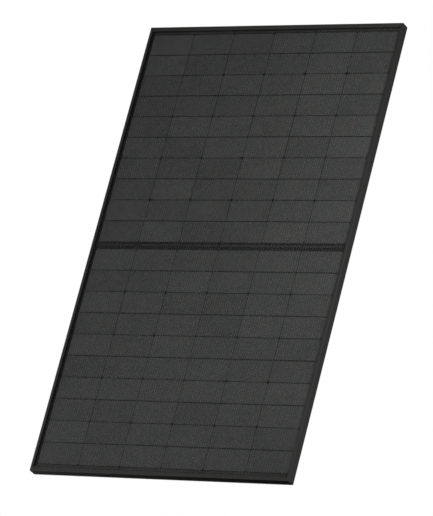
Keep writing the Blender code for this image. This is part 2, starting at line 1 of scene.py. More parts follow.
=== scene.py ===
"""Looks of a framed solar panel with half cells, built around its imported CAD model.

The panel stands upright with its glass towards -Y. Every length is in metres and in
the same frame as the CAD model, and pieces take their places from the CAD nodes.
"""

import logging
import math
from collections.abc import Iterable, Sequence
from dataclasses import dataclass, field
from enum import Enum

import bmesh
import bpy
from mathutils import Matrix, Vector


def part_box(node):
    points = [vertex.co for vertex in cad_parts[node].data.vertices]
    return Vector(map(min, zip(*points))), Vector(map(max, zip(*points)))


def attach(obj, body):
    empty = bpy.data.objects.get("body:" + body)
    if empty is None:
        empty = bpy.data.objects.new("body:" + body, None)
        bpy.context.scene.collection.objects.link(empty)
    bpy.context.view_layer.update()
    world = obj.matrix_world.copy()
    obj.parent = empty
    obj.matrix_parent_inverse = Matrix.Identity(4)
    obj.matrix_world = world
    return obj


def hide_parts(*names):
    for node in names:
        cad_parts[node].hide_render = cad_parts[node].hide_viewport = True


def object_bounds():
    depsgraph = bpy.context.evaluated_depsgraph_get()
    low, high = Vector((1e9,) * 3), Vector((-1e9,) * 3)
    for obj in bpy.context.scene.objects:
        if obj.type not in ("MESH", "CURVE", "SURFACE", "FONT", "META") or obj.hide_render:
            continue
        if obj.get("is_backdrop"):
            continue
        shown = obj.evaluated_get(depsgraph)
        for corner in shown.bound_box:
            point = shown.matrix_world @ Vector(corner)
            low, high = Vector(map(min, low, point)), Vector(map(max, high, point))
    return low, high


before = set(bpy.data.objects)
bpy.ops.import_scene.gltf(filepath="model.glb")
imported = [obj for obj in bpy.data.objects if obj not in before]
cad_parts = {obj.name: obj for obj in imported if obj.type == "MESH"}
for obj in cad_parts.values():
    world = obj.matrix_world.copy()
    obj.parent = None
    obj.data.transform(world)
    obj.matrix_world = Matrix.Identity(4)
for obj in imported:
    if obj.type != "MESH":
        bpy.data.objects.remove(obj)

log = logging.getLogger("solar_panel")

Colour = tuple[float, float, float]
Point = tuple[float, float, float]
Range = tuple[float, float]
Node = bpy.types.Node
Socket = bpy.types.NodeSocket
Surface = tuple[Socket, Socket, Socket]

MERGE_DISTANCE = 1e-6
CELL_TONE = "cell_tone"
# cell_rim marks the dark rim of painted shade along each half cell's edges.
CELL_RIM = "cell_rim"


class Body(Enum):
    """The bodies of the CAD model that pieces ride on."""

    PANEL = "panel"
    LID_LEFT = "lid_left"
    LID_MIDDLE = "lid_middle"
    LID_RIGHT = "lid_right"


class Half(Enum):
    """The two halves of the cell array, with the direction away from the middle gap."""

    UPPER = 1
    LOWER = -1


class Run(Enum):
    """The direction in which a frame bar was extruded, with the stretch of its grain."""

    UPRIGHT = (1.0, 1.0, 0.03)
    CROSSWISE = (0.03, 1.0, 1.0)


# Node graphs


@dataclass
class Graph:
    """Adds nodes to one node tree and joins them.

    Attributes:
        tree: The node tree.
    """

    tree: bpy.types.NodeTree

    def add(self, kind: str, **settings: object) -> Node:
        """Add one node.

        Args:
            kind: Type name of the node.
            **settings: Properties to set on it.

        Returns:
            The new node.
        """
        node = self.tree.nodes.new(kind)
        for name, value in settings.items():
            setattr(node, name, value)
        return node

    def feed(self, socket: Socket, value: object) -> None:
        """Join another socket to an input, or set the input's plain value.

        Args:
            socket: The input.
            value: An output socket, a number, a vector or a colour.
        """
        if isinstance(value, Socket):
            self.tree.links.new(value, socket)
        else:
            socket.default_value = value

    def math(self, operation: str, first: object, second: object = 0.0) -> Socket:
        """Work out one sum.

        Args:
            operation: Name of the operation.
            first: First value.
            second: Second value, where the operation has one.

        Returns:
            The result's socket.
        """
        node = self.add("ShaderNodeMath", operation=operation)
        self.feed(node.inputs[0], first)
        self.feed(node.inputs[1], second)
        return node.outputs[0]

    def spread(
        self, value: object, low: float, high: float, start: object = 0.0, end: object = 1.0
    ) -> Socket:
        """Map a value from one range to another, held within the new range.

        Args:
            value: The value to map.
            low: Value that becomes start.
            high: Value that becomes end.
            start: First end of the new range, a number or a socket.
            end: Second end of the new range, a number or a socket.

        Returns:
            The mapped value's socket.
        """
        node = self.add("ShaderNodeMapRange")
        self.feed(node.inputs["Value"], value)
        self.feed(node.inputs["From Min"], low)
        self.feed(node.inputs["From Max"], high)
        self.feed(node.inputs["To Min"], start)
        self.feed(node.inputs["To Max"], end)
        return node.outputs["Result"]

    def blend(self, share: object, first: object, second: object) -> Socket:
        """Mix two colours.

        Args:
            share: Share of the second colour, from 0 to 1.
            first: A colour or a colour socket.
            second: A colour or a colour socket.

        Returns:
            The mixed colour's socket.
        """
        node = self.add("ShaderNodeMix", data_type="RGBA")
        self.feed(node.inputs[0], share)
        self.feed(node.inputs[6], opaque(first))
        self.feed(node.inputs[7], opaque(second))
        return node.outputs[2]

    def noise(self, vector: object, scale: object, detail: float = 2.0, roughness: float = 0.5) -> Socket:
        """Add a noise texture.

        Args:
            vector: Coordinates to read.
            scale: Number of lumps in a metre.
            detail: Octaves.
            roughness: Weight of the finer octaves.

        Returns:
            The noise value's socket.
        """
        node = self.add("ShaderNodeTexNoise")
        self.feed(node.inputs["Vector"], vector)
        self.feed(node.inputs["Scale"], scale)
        node.inputs["Detail"].default_value = detail
        node.inputs["Roughness"].default_value = roughness
        return node.outputs["Fac"]

    def place(self, stretch: Point = (1.0, 1.0, 1.0), shift: Point = (0.0, 0.0, 0.0)) -> Socket:
        """Read Object coordinates, shifted and stretched.

        Args:
            stretch: Scale along each axis.
            shift: Location that is added before the scale.

        Returns:
            The coordinates' socket.
        """
        coordinates = self.add("ShaderNodeTexCoord")
        mapping = self.add("ShaderNodeMapping")
        self.feed(mapping.inputs["Vector"], coordinates.outputs["Object"])
        mapping.inputs["Location"].default_value = shift
        mapping.inputs["Scale"].default_value = stretch
        return mapping.outputs["Vector"]

    def bump(self, height: object, distance: float) -> Socket:
        """Turn a height into a normal.

        Args:
            height: The height's socket.
            distance: Depth of the bump in metres.

        Returns:
            The normal's socket.
        """
        node = self.add("ShaderNodeBump")
        node.inputs["Strength"].default_value = 1.0
        node.inputs["Distance"].default_value = distance
        self.feed(node.inputs["Height"], height)
        return node.outputs["Normal"]

    def let_through(self, share: object, shader: Node) -> None:
        """Make a material's surface clear to a share of the rays that meet it.

        Args:
            share: Share that goes straight through, from 0 to 1.
            shader: The material's Principled shader.
        """
        mixed = self.add("ShaderNodeMixShader")
        self.feed(mixed.inputs[0], share)
        self.feed(mixed.inputs[1], shader.outputs["BSDF"])
        self.feed(mixed.inputs[2], self.add("ShaderNodeBsdfTransparent").outputs["BSDF"])
        self.feed(self.tree.nodes["Material Output"].inputs["Surface"], mixed.outputs["Shader"])


def opaque(colour: object) -> object:
    """Give a plain colour its alpha, and pass a socket on as it is."""
    return (*colour, 1.0) if isinstance(colour, tuple) and len(colour) == 3 else colour


@dataclass(frozen=True)
class Effect:
    """A shader node group that more than one finish uses.

    Attributes:
        name: Name of the group.
    """

    name: str

    def group(self) -> bpy.types.NodeTree:
        """Find the group's tree, or build it the first time that it is asked for.

        Returns:
            The tree.
        """
        tree = bpy.data.node_groups.get(self.name)
        if tree is None:
            tree = bpy.data.node_groups.new(self.name, "ShaderNodeTree")
            self.fill(tree)
        return tree

    def fill(self, tree: bpy.types.NodeTree) -> None:
        """Add the group's sockets and nodes.

        Args:
            tree: The group's empty tree.
        """
        raise NotImplementedError

    def put(self, graph: Graph, **values: object) -> Node:
        """Place the group in a material.

        Args:
            graph: The material's graph.
            **values: Values of the group's inputs, with underscores for spaces.

        Returns:
            The group's node.
        """
        node = graph.add("ShaderNodeGroup", node_tree=self.group())
        for name, value in values.items():
            graph.feed(node.inputs[name.replace("_", " ")], value)
        return node


def socket_in(tree: bpy.types.NodeTree, name: str, kind: str, value: object = None) -> None:
    """Add an input to a node group.

    Args:
        tree: The group.
        name: Name of the input.
        kind: Type name of its socket.
        value: Value that it starts with.
    """
    made = tree.interface.new_socket(name, in_out="INPUT", socket_type=kind)
    if value is not None:
        made.default_value = value


def socket_out(tree: bpy.types.NodeTree, name: str, kind: str) -> None:
    """Add an output to a node group."""
    tree.interface.new_socket(name, in_out="OUTPUT", socket_type=kind)


@dataclass(frozen=True)
class SurfaceGrain(Effect):
    """Coarse cloudiness and fine grain of a surface, as a tone and a height."""

    name: str = "surface_grain"

    CLOUD_SHARE = 0.6
    TONE_RANGE = (0.3, 0.7)

    def fill(self, tree: bpy.types.NodeTree) -> None:
        """Add two noises and weigh them.

        Args:
            tree: The group's empty tree.
        """
        socket_in(tree, "Vector", "NodeSocketVector")
        socket_in(tree, "Cloud Scale", "NodeSocketFloat", 6.0)
        socket_in(tree, "Grain Scale", "NodeSocketFloat", 900.0)
        socket_out(tree, "Tone", "NodeSocketFloat")
        socket_out(tree, "Height", "NodeSocketFloat")
        graph = Graph(tree)
        inside = graph.add("NodeGroupInput")
        outside = graph.add("NodeGroupOutput")
        cloud = graph.noise(inside.outputs["Vector"], inside.outputs["Cloud Scale"], 3.0)
        grain = graph.noise(inside.outputs["Vector"], inside.outputs["Grain Scale"], 2.0, 0.6)
        coarse = graph.math("MULTIPLY", cloud, self.CLOUD_SHARE)
        fine = graph.math("MULTIPLY", grain, 1.0 - self.CLOUD_SHARE)
        both = graph.math("ADD", coarse, fine)
        graph.feed(outside.inputs["Tone"], graph.spread(both, *self.TONE_RANGE))
        graph.feed(outside.inputs["Height"], grain)


@dataclass(frozen=True)
class EdgeWear(Effect):
    """Mask of the rubbed edges of a piece, broken up by a noise."""

    name: str = "edge_wear"

    BEVEL_SAMPLES = 4
    TURN_RANGE = (0.98, 0.75)
    PATCH_SCALE = 60.0
    PATCH_RANGE = (0.35, 0.65)

    def fill(self, tree: bpy.types.NodeTree) -> None:
        """Compare the rounded normal with the true one.

        Args:
            tree: The group's empty tree.
        """
        socket_in(tree, "Vector", "NodeSocketVector")
        socket_in(tree, "Radius", "NodeSocketFloat", 0.0006)
        socket_in(tree, "Amount", "NodeSocketFloat", 0.5)
        socket_out(tree, "Mask", "NodeSocketFloat")
        graph = Graph(tree)
        inside = graph.add("NodeGroupInput")
        outside = graph.add("NodeGroupOutput")
        rounded = graph.add("ShaderNodeBevel", samples=self.BEVEL_SAMPLES)
        graph.feed(rounded.inputs["Radius"], inside.outputs["Radius"])
        flat = graph.add("ShaderNodeNewGeometry")
        turned = graph.add("ShaderNodeVectorMath", operation="DOT_PRODUCT")
        graph.feed(turned.inputs[0], rounded.outputs["Normal"])
        graph.feed(turned.inputs[1], flat.outputs["Normal"])
        edge = graph.spread(turned.outputs["Value"], *self.TURN_RANGE)
        patches = graph.noise(inside.outputs["Vector"], self.PATCH_SCALE, 4.0)
        patches = graph.spread(patches, *self.PATCH_RANGE)
        worn = graph.math("MULTIPLY", edge, patches)
        graph.feed(outside.inputs["Mask"], graph.math("MULTIPLY", worn, inside.outputs["Amount"]))


@dataclass(frozen=True)
class SettledDust(Effect):
    """Mask of dust that lies thinly everywhere and thicker on what faces up."""

    name: str = "settled_dust"

    FACING_RANGE = (-0.2, 1.0)
    THINNEST = 0.35
    SPECKLE_SCALE = 220.0
    SPECKLE_RANGE = (0.45, 0.8)

    def fill(self, tree: bpy.types.NodeTree) -> None:
        """Weigh a speckle by how far the surface faces up.

        Args:
            tree: The group's empty tree.
        """
        socket_in(tree, "Vector", "NodeSocketVector")
        socket_in(tree, "Amount", "NodeSocketFloat", 0.2)
        socket_out(tree, "Mask", "NodeSocketFloat")
        graph = Graph(tree)
        inside = graph.add("NodeGroupInput")
        outside = graph.add("NodeGroupOutput")
        facing = graph.add("ShaderNodeSeparateXYZ")
        graph.feed(facing.inputs[0], graph.add("ShaderNodeNewGeometry").outputs["Normal"])
        upward = graph.spread(facing.outputs["Z"], *self.FACING_RANGE, self.THINNEST)
        speckle = graph.noise(inside.outputs["Vector"], self.SPECKLE_SCALE, 5.0, 0.65)
        speckle = graph.spread(speckle, *self.SPECKLE_RANGE)
        laid = graph.math("MULTIPLY", upward, speckle)
        graph.feed(outside.inputs["Mask"], graph.math("MULTIPLY", laid, inside.outputs["Amount"]))


GRAIN = SurfaceGrain()
WEAR = EdgeWear()
DUST = SettledDust()


# Finishes


@dataclass(frozen=True)
class Finish:
    """A finish that a Principled shader carries.

    Attributes:
        name: Name of the material.
        colour: Darker colour of the surface.
        lighter: Lighter colour of the surface.
        roughness: Middle value of the roughness.
        roughness_swing: How far the roughness goes to either side of it.
        metallic: Metallic value.
        cloud_scale: Size of the coarse variation, in lumps a metre.
        grain_scale: Size of the fine variation, in lumps a metre.
        bump_depth: Depth of the fine relief in metres.
        wear: Share of the edges that is rubbed.
        dust: Share of dust.
        stretch: Stretch of the grain along each axis.
    """

    name: str
    colour: Colour
    lighter: Colour
    roughness: float
    roughness_swing: float = 0.08
    metallic: float = 0.0
    cloud_scale: float = 6.0
    grain_scale: float = 900.0
    bump_depth: float = 0.00002
    wear: float = 0.0
    dust: float = 0.0
    stretch: Point = (1.0, 1.0, 1.0)

    WORN_COLOUR = (0.16, 0.16, 0.16)
    DUST_COLOUR = (0.22, 0.21, 0.19)
    DUST_ROUGHNESS = 0.9

    def material(self) -> bpy.types.Material:
        """Find the finish's material, or make it the first time that it is asked for.

        Returns:
            The material.
        """
        label = f"{self.name}_finish"
        made = bpy.data.materials.get(label)
        if made is None:
            made = bpy.data.materials.new(label)
            made.use_nodes = True
            graph = Graph(made.node_tree)
            self.dress(graph, made.node_tree.nodes["Principled BSDF"])
        return made

    def dress(self, graph: Graph, shader: Node) -> None:
        """Join the finish's nodes to its shader.

        Args:
            graph: Graph of the material.
            shader: Its Principled shader.
        """
        shader.inputs["Metallic"].default_value = self.metallic
        vector = graph.place(self.stretch)
        grain = GRAIN.put(graph, Vector=vector, Cloud_Scale=self.cloud_scale, Grain_Scale=self.grain_scale)
        colour, roughness, height = self.surface(graph, vector, grain)
        if self.wear:
            worn = WEAR.put(graph, Vector=vector, Amount=self.wear).outputs["Mask"]
            colour = graph.blend(worn, colour, self.WORN_COLOUR)
        if self.dust:
            dusty = DUST.put(graph, Vector=graph.place(), Amount=self.dust).outputs["Mask"]
            colour = graph.blend(dusty, colour, self.DUST_COLOUR)
            roughness = graph.spread(dusty, 0.0, 1.0, roughness, self.DUST_ROUGHNESS)
        graph.feed(shader.inputs["Base Color"], colour)
        graph.feed(shader.inputs["Roughness"], roughness)
        graph.feed(shader.inputs["Normal"], graph.bump(height, self.bump_depth))

    def surface(self, graph: Graph, vector: Socket, grain: Node) -> Surface:
        """Colour, roughness and height of the clean surface.

        Args:
            graph: Graph of the material.
            vector: Its coordinates.
            grain: Its surface grain.

        Returns:
            The three sockets.
        """
        tone = grain.outputs["Tone"]
        colour = graph.blend(tone, self.colour, self.lighter)
        low = self.roughness - self.roughness_swing
        high = self.roughness + self.roughness_swing
        return colour, graph.spread(tone, 0.0, 1.0, low, high), grain.outputs["Height"]


@dataclass(frozen=True)
class SiliconFinish(Finish):
    """Wafer under its blue-black coating, with printed fingers, and a dark rim of painted shade along its
    edges.

    Attributes:
        finger_pitch: Distance between printed fingers.
        finger_range: Heights of the wave at which a finger begins and is full.
        finger_share: Share of the wafer's colour that a finger covers.
        finger_colour: Colour of the fingers.
        patch: Second tint of the wafer, in soft patches.
        patch_range: Noise values at which a patch begins and is full.
        tone_share: Share of the tone that is different in each half cell.
        crystal_scale: Size of the patches, in lumps a metre.
        rim_shade: Colour of the dark rim, painted shade along the cell's edges that darkens the gaps
            between cells.
    """

    finger_pitch: float = 0.0014
    finger_range: Range = (0.93, 0.99)
    finger_share: float = 0.35
    finger_colour: Colour = (0.11, 0.11, 0.11)
    patch: Colour = (0.06, 0.055, 0.055)
    patch_range: Range = (0.42, 0.6)
    tone_share: float = 0.10
    crystal_scale: float = 70.0
    rim_shade: Colour = (0.005, 0.005, 0.005)

    # Radians that Blender's wave texture runs through in one unit, at a scale of 1
    WAVE_FACTOR = 20.0

    def surface(self, graph: Graph, vector: Socket, grain: Node) -> Surface:
        """Colour, roughness and height of the wafer.

        Args:
            graph: Graph of the material.
            vector: Its coordinates.
            grain: Its surface grain.

        Returns:
            The three sockets.
        """
        colour, roughness, height = super().surface(graph, vector, grain)
        patches = graph.spread(graph.noise(vector, self.crystal_scale, 3.0, 0.55), *self.patch_range)
        colour = graph.blend(patches, colour, self.patch)
        own = graph.add("ShaderNodeAttribute", attribute_name=CELL_TONE)
        shade = graph.spread(own.outputs["Fac"], 0.0, 1.0, 1.0 - self.tone_share, 1.0 + self.tone_share)
        brighter = graph.add("ShaderNodeVectorMath", operation="SCALE")
        graph.feed(brighter.inputs[0], colour)
        graph.feed(brighter.inputs["Scale"], shade)
        finger = graph.add("ShaderNodeTexWave", bands_direction="Z")
        graph.feed(finger.inputs["Vector"], vector)
        finger.inputs["Scale"].default_value = math.tau / (self.WAVE_FACTOR * self.finger_pitch)
        printed = graph.spread(finger.outputs["Fac"], *self.finger_range)
        cover = graph.math("MULTIPLY", printed, self.finger_share)
        colour = graph.blend(cover, brighter.outputs[0], self.finger_colour)
        # Dark rim along the half cell's edges: painted shade that darkens and widens the gaps between
        # cells.
        rim = graph.add("ShaderNodeAttribute", attribute_name=CELL_RIM)
        colour = graph.blend(rim.outputs["Fac"], colour, self.rim_shade)
        return colour, roughness, graph.math("ADD", height, printed)


@dataclass(frozen=True)
class GlassFinish(Finish):
    """Low-iron solar glass with a faintly pebbled, anti-reflective face.

    Attributes:
        index: Refractive index of the coated face.
        pebble_scale: Size of the pebbles, in lumps a metre.
    """

    index: float = 1.20
    pebble_scale: float = 700.0

    def dress(self, graph: Graph, shader: Node) -> None:
        """Make the shader clear, and let lamps light what is behind it.

        Args:
            graph: Graph of the material.
            shader: Its Principled shader.
        """
        vector = graph.place()
        grain = GRAIN.put(graph, Vector=vector, Cloud_Scale=self.cloud_scale, Grain_Scale=self.grain_scale)
        colour, roughness, _height = self.surface(graph, vector, grain)
        pebbles = graph.noise(vector, self.pebble_scale, 1.0)
        graph.feed(shader.inputs["Base Color"], colour)
        graph.feed(shader.inputs["Roughness"], roughness)
        graph.feed(shader.inputs["Normal"], graph.bump(pebbles, self.bump_depth))
        shader.inputs["IOR"].default_value = self.index
        shader.inputs["Transmission Weight"].default_value = 1.0
        path = graph.add("ShaderNodeLightPath")
        graph.let_through(path.outputs["Is Shadow Ray"], shader)


@dataclass(frozen=True)
class FilmFinish(Finish):
    """Clear encapsulant film that is only just seen.

    Attributes:
        haze: Mean share of light that the film stops.
        haze_scale: Size of the haze's clouds, in lumps a metre.
        haze_range: Noise values at which the haze is thinnest and thickest.
    """

    haze: float = 0.04
    haze_scale: float = 25.0
    haze_range: Range = (0.3, 0.7)

    def dress(self, graph: Graph, shader: Node) -> None:
        """Make the shader nearly clear, with cloudy haze.

        Args:
            graph: Graph of the material.
            shader: Its Principled shader.
        """
        super().dress(graph, shader)
        cloud = graph.noise(graph.place(), self.haze_scale, 4.0)
        haze = graph.spread(cloud, *self.haze_range, 0.5 * self.haze, 1.5 * self.haze)
        graph.feed(shader.inputs["Alpha"], haze)


@dataclass(frozen=True)
class LabelFinish(Finish):
    """Blank printed film with a fine ruled border.

    Attributes:
        border: Distance of the border line from the middle, along X and Z.
        middle: Middle of the label along Z.
        line: Distance from the border line's middle at which its ink is gone.
        ink: Colour of the border line.
    """

    border: Range = (0.055, 0.035)
    middle: float = 0.45
    line: float = 0.0006
    ink: Colour = (0.10, 0.10, 0.10)

    def surface(self, graph: Graph, vector: Socket, grain: Node) -> Surface:
        """Colour, roughness and height of the film.

        Args:
            graph: Graph of the material.
            vector: Its coordinates.
            grain: Its surface grain.

        Returns:
            The three sockets.
        """
        colour, roughness, height = super().surface(graph, vector, grain)
        axes = graph.add("ShaderNodeSeparateXYZ")
        graph.feed(axes.inputs[0], graph.place(shift=(0.0, 0.0, -self.middle)))
        aside = graph.math("SUBTRACT", graph.math("ABSOLUTE", axes.outputs["X"]), self.border[0])
        above = graph.math("SUBTRACT", graph.math("ABSOLUTE", axes.outputs["Z"]), self.border[1])
        away = graph.math("ABSOLUTE", graph.math("MAXIMUM", aside, above))
        ruled = graph.spread(away, self.line, 0.5 * self.line)
        return graph.blend(ruled, colour, self.ink), roughness, height


def anodised(run: Run) -> Finish:
    """Black anodised aluminium with extrusion grain along the bar.

    Args:
        run: Direction of the bar.

    Returns:
        The finish.
    """
    return Finish(
        name=f"black_anodised_{run.name.lower()}",
        colour=(0.026, 0.0255, 0.0245),
        lighter=(0.046, 0.045, 0.0435),
        roughness=0.38,
        metallic=0.30,
        cloud_scale=14.0,
        grain_scale=1400.0,
        bump_depth=0.000015,
        wear=0.5,
        dust=0.05,
        stretch=run.value,
    )


GLASS = GlassFinish(
    "solar_glass", (0.93, 0.95, 0.94), (0.97, 0.98, 0.97), 0.09, 0.02, bump_depth=0.000004
)
ENCAPSULANT = FilmFinish(
    "clear_encapsulant", (0.05, 0.05, 0.05), (0.09, 0.09, 0.09), 0.5, cloud_scale=30.0,
    bump_depth=0.00001, haze=0.006,
)
SILICON = SiliconFinish(
    "silicon_cell", (0.035, 0.041, 0.039), (0.050, 0.056, 0.053), 0.5, cloud_scale=9.0, grain_scale=420.0
)
TINNED_WIRE = Finish(
    "tinned_wire", (0.30, 0.30, 0.295), (0.42, 0.42, 0.41), 0.38, metallic=0.4, grain_scale=1200.0,
    stretch=(1.0, 1.0, 0.1),
)
RIBBON = Finish(
    "dark_ribbon", (0.042, 0.042, 0.041), (0.068, 0.068, 0.066), 0.28, metallic=0.4, cloud_scale=20.0,
    stretch=(0.2, 1.0, 1.0),
)
SOLDERED = Finish(
    "soldered_copper", (0.42, 0.41, 0.39), (0.62, 0.60, 0.57), 0.34, metallic=1.0, cloud_scale=60.0,
    bump_depth=0.00004, wear=0.4,
)
BACKSHEET = Finish(
    "black_backsheet", (0.0038, 0.0038, 0.0040), (0.0062, 0.0062, 0.0064), 0.6, cloud_scale=5.0,
    grain_scale=1100.0, bump_depth=0.00005,
)
SEALANT = Finish(
    "black_sealant", (0.012, 0.012, 0.012), (0.024, 0.024, 0.023), 0.6, cloud_scale=40.0,
    grain_scale=350.0, bump_depth=0.0001,
)
PLASTIC = Finish(
    "box_plastic", (0.018, 0.018, 0.019), (0.030, 0.030, 0.031), 0.42, cloud_scale=25.0,
    grain_scale=2200.0, bump_depth=0.00004, wear=0.35, dust=0.12,
)
RUBBER = Finish(
    "seal_rubber", (0.022, 0.022, 0.022), (0.034, 0.034, 0.033), 0.78, cloud_scale=80.0, grain_scale=1500.0
)
RESIN = Finish(
    "diode_resin", (0.014, 0.014, 0.014), (0.026, 0.026, 0.026), 0.5, cloud_scale=120.0,
    grain_scale=3000.0, wear=0.2,
)
CUT_ALUMINIUM = Finish(
    "cut_aluminium", (0.50, 0.51, 0.52), (0.68, 0.69, 0.70), 0.36, metallic=1.0, cloud_scale=50.0,
    grain_scale=800.0, stretch=(1.0, 0.05, 1.0), wear=0.3,
)
LABEL = LabelFinish(
    "label_film", (0.55, 0.55, 0.53), (0.66, 0.66, 0.64), 0.42, cloud_scale=30.0, grain_scale=2500.0,
    bump_depth=0.00001, dust=0.15,
)


# Pieces


@dataclass
class Parts:
    """Puts finished pieces on their bodies and keeps count of them.

    Attributes:
        made: Names of the finished pieces.
    """

    made: list[str] = field(default_factory=list)

    def keep(self, node: str, finish: Finish) -> None:
        """Give a CAD node whose shape is right its finish.

        Args:
            node: Name of the node.
            finish: Its finish.
        """
        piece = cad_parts[node]
        piece.data.materials.clear()
        piece.data.materials.append(finish.material())
        self.note(piece)

    def fit(self, piece: bpy.types.Object, body: Body, nodes: Sequence[str] = ()) -> None:
        """Put a new piece on its body.

        Args:
            piece: The finished piece.
            body: The body that it rides on.
            nodes: CAD nodes that it stands for.
        """
        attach(piece, body.value)
        if nodes:
            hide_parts(*nodes)
        self.note(piece)

    def note(self, piece: bpy.types.Object) -> None:
        """Report one finished piece."""
        self.made.append(piece.name)
        log.info("%s: %d faces", piece.name, len(piece.data.polygons))


def new_object(name: str, mesh: bpy.types.Mesh) -> bpy.types.Object:
    """Link a new object that holds a mesh.

    Args:
        name: Name of the object.
        mesh: Its mesh.

    Returns:
        The object.
    """
    piece = bpy.data.objects.new(name, mesh)
    bpy.context.scene.collection.objects.link(piece)
    return piece


def apply_modifiers(piece: bpy.types.Object) -> bpy.types.Object:
    """Turn a piece and its modifiers into a plain mesh.

    Args:
        piece: The piece.

    Returns:
        The same piece, with no modifiers.
    """
    graph = bpy.context.evaluated_depsgraph_get()
    mesh = bpy.data.meshes.new_from_object(
        piece.evaluated_get(graph), preserve_all_data_layers=True, depsgraph=graph
    )
    piece.modifiers.clear()
    piece.data = mesh
    return piece


@dataclass(frozen=True)
class Softening:
    """Rounds the edges of a merged copy of a CAD node.

    Attributes:
        width: Width of the rounding in metres.
        segments: Faces across the rounding.
        corner_angle: Edges that turn further than this are rounded, in degrees.
    """

    width: float
    segments: int = 2
    corner_angle: float = 32.0

    FLAT_ANGLE = 0.4

    def copy(self, node: str, name: str, finish: Finish) -> bpy.types.Object:
        """Make the rounded copy.

        Args:
            node: Name of the CAD node.
            name: Name of the new piece.
            finish: Its finish.

        Returns:
            The new piece.
        """
        source = bmesh.new()
        source.from_mesh(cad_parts[node].data)
        bmesh.ops.remove_doubles(source, verts=source.verts, dist=MERGE_DISTANCE)
        bmesh.ops.dissolve_limit(
            source, angle_limit=math.radians(self.FLAT_ANGLE), verts=source.verts, edges=source.edges
        )
        source.verts.index_update()
        mesh = bpy.data.meshes.new(name)
        mesh.from_pydata(
            [vert.co[:] for vert in source.verts],
            [],
            [[vert.index for vert in face.verts] for face in source.faces],
        )
        source.free()
        mesh.shade_smooth()
        mesh.materials.append(finish.material())
        piece = new_object(name, mesh)
        rounding = piece.modifiers.new("Rounding", "BEVEL")
        rounding.width = self.width
        rounding.segments = self.segments
        rounding.limit_method = "ANGLE"
        rounding.angle_limit = math.radians(self.corner_angle)
        rounding.harden_normals = True
        return apply_modifiers(piece)


# Repeats made with Geometry Nodes


@dataclass
class Repeater:
    """A Geometry Nodes tree with named inputs, applied to a piece as a plain mesh.

    Attributes:
        name: Name of the tree.
    """

    name: str

    def start(self, sizes: dict[str, tuple[str, object]]) -> tuple[Graph, Node]:
        """Make the tree with its sockets.

        Args:
            sizes: Socket type and starting value of each named input.

        Returns:
            The tree's graph and its input node.
        """
        tree = bpy.data.node_groups.new(self.name, "GeometryNodeTree")
        socket_in(tree, "Geometry", "NodeSocketGeometry")
        for name, (kind, value) in sizes.items():
            socket_in(tree, name, kind, value)
        socket_in(tree, "Finish", "NodeSocketMaterial")
        socket_out(tree, "Geometry", "NodeSocketGeometry")
        graph = Graph(tree)
        return graph, graph.add("NodeGroupInput")

    def end(self, graph: Graph, inside: Node, instances: Socket) -> None:
        """Realise the instances and give them their finish.

        Args:
            graph: The tree's graph.
            inside: Its input node.
            instances: What the tree has made.
        """
        real = graph.add("GeometryNodeRealizeInstances")
        graph.feed(real.inputs[0], instances)
        dressed = graph.add("GeometryNodeSetMaterial")
        graph.feed(dressed.inputs["Geometry"], real.outputs[0])
        graph.feed(dressed.inputs["Material"], inside.outputs["Finish"])
        outside = graph.add("NodeGroupOutput")
        graph.feed(outside.inputs[0], dressed.outputs[0])

    def run(self, piece: bpy.types.Object, finish: Finish, **sizes: object) -> bpy.types.Object:
        """Apply the tree to a piece.

        Args:
            piece: The piece that holds the tree's starting mesh.
            finish: Finish of the result.
            **sizes: Values of the named inputs, with underscores for spaces.

        Returns:
            The piece, with the result as its mesh.
        """
        tree = bpy.data.node_groups[self.name]
        names = {
            item.name: item.identifier
            for item in tree.interface.items_tree
            if item.item_type == "SOCKET" and item.in_out == "INPUT"
        }
        modifier = piece.modifiers.new(self.name, "NODES")
        modifier.node_group = tree
        modifier[names["Finish"]] = finish.material()
        for name, value in sizes.items():
            modifier[names[name.replace("_", " ")]] = value
        return apply_modifiers(piece)


@dataclass
class HalfCellRepeater(Repeater):
    """Lays half cells in pairs along a column, each turned so that the cut edges meet."""

    name: str = "half_cells_of_a_string"

    def build(self) -> None:
        """Build the tree."""
        graph, inside = self.start(
            {
                "Cells": ("NodeSocketInt", 5),
                "First": ("NodeSocketVector", (0.0, 0.0, 0.0)),
                "Second": ("NodeSocketVector", (0.0, 0.0, 0.0)),
                "Step": ("NodeSocketVector", (0.0, 0.0, 0.0)),
                "First Turn": ("NodeSocketFloat", 0.0),
                "Second Turn": ("NodeSocketFloat", 0.0),
                "Seed": ("NodeSocketInt", 0),
            }
        )
        both = graph.add("GeometryNodeJoinGeometry")
        for which in ("First", "Second"):
            line = graph.add("GeometryNodeMeshLine", mode="OFFSET")
            graph.feed(line.inputs["Count"], inside.outputs["Cells"])
            graph.feed(line.inputs["Start Location"], inside.outputs[which])
            graph.feed(line.inputs["Offset"], inside.outputs["Step"])
            turn = graph.add("ShaderNodeCombineXYZ")
            graph.feed(turn.inputs["Y"], inside.outputs[f"{which} Turn"])
            rotation = graph.add("FunctionNodeEulerToRotation")
            graph.feed(rotation.inputs[0], turn.outputs[0])
            laid = graph.add("GeometryNodeInstanceOnPoints")
            graph.feed(laid.inputs["Points"], line.outputs[0])
            graph.feed(laid.inputs["Instance"], inside.outputs["Geometry"])
            graph.feed(laid.inputs["Rotation"], rotation.outputs[0])
            graph.feed(both.inputs[0], laid.outputs[0])
        tone = graph.add("FunctionNodeRandomValue", data_type="FLOAT")
        graph.feed(tone.inputs["Seed"], inside.outputs["Seed"])
        kept = graph.add("GeometryNodeStoreNamedAttribute", data_type="FLOAT", domain="INSTANCE")
        kept.inputs["Name"].default_value = CELL_TONE
        graph.feed(kept.inputs["Geometry"], both.outputs[0])
        graph.feed(kept.inputs["Value"], tone.outputs[1])
        self.end(graph, inside, kept.outputs[0])


